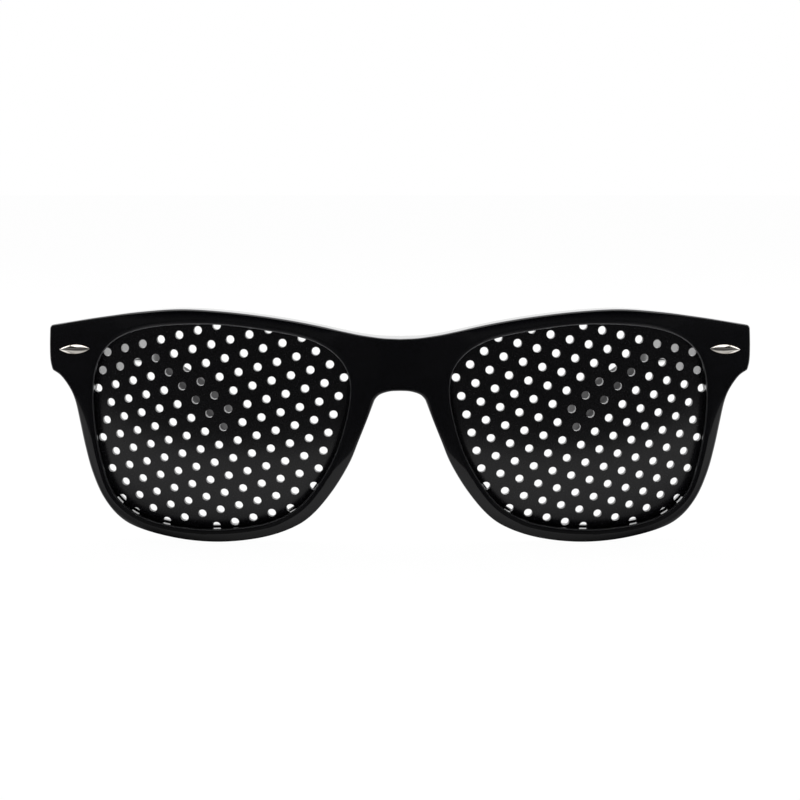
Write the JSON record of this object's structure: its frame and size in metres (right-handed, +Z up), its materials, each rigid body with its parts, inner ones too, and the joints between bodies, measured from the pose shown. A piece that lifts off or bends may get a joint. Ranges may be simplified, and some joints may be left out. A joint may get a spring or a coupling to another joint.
{
  "type": "pinhole glasses",
  "caption": "Black moulded glasses with perforated domed plastic lenses, a saddle bridge, polished pointed studs on the end pieces and folding temples on three-barrel hinges.",
  "frame": {"origin": "centre of the overall box's footprint, on the table that the rims and the temple tips stand on", "axes": "+X to the wearer's left, +Y from the front toward the ear tips, +Z up; the glasses stand open"},
  "size_m": [0.1464, 0.1486, 0.0492],
  "materials": {
    "gloss_black": "polished moulded plastic",
    "lens_black": "smooth moulded plastic, slightly softer than the frame",
    "polished_trim": "bright plated, faceted",
    "hinge_steel": "plain nickelled steel"
  },
  "bodies": {
    "front": {"front_frame": "gloss_black", "right_pinhole_lens": "lens_black", "left_pinhole_lens": "lens_black", "right_stud": "polished_trim", "left_stud": "polished_trim", "right_front_leaf": "hinge_steel", "left_front_leaf": "hinge_steel", "right_hinge_screw": "hinge_steel", "left_hinge_screw": "hinge_steel"},
    "right_side": {"right_temple": "gloss_black", "right_temple_leaf": "hinge_steel", "right_leaf_screws": "hinge_steel"},
    "left_side": {"left_temple": "gloss_black", "left_temple_leaf": "hinge_steel", "left_leaf_screws": "hinge_steel"}
  },
  "joints": [
    {"name": "right_fold", "type": "hinge", "parent": "front", "child": "right_side", "pos_m": [-0.0683, -0.05756, 0.03913], "axis": [0, -0.1313, -0.9913], "range_deg": [0, 82]},
    {"name": "left_fold", "type": "hinge", "parent": "front", "child": "left_side", "pos_m": [0.0683, -0.05756, 0.03913], "axis": [0, 0.1313, 0.9913], "range_deg": [0, 68]}
  ]
}
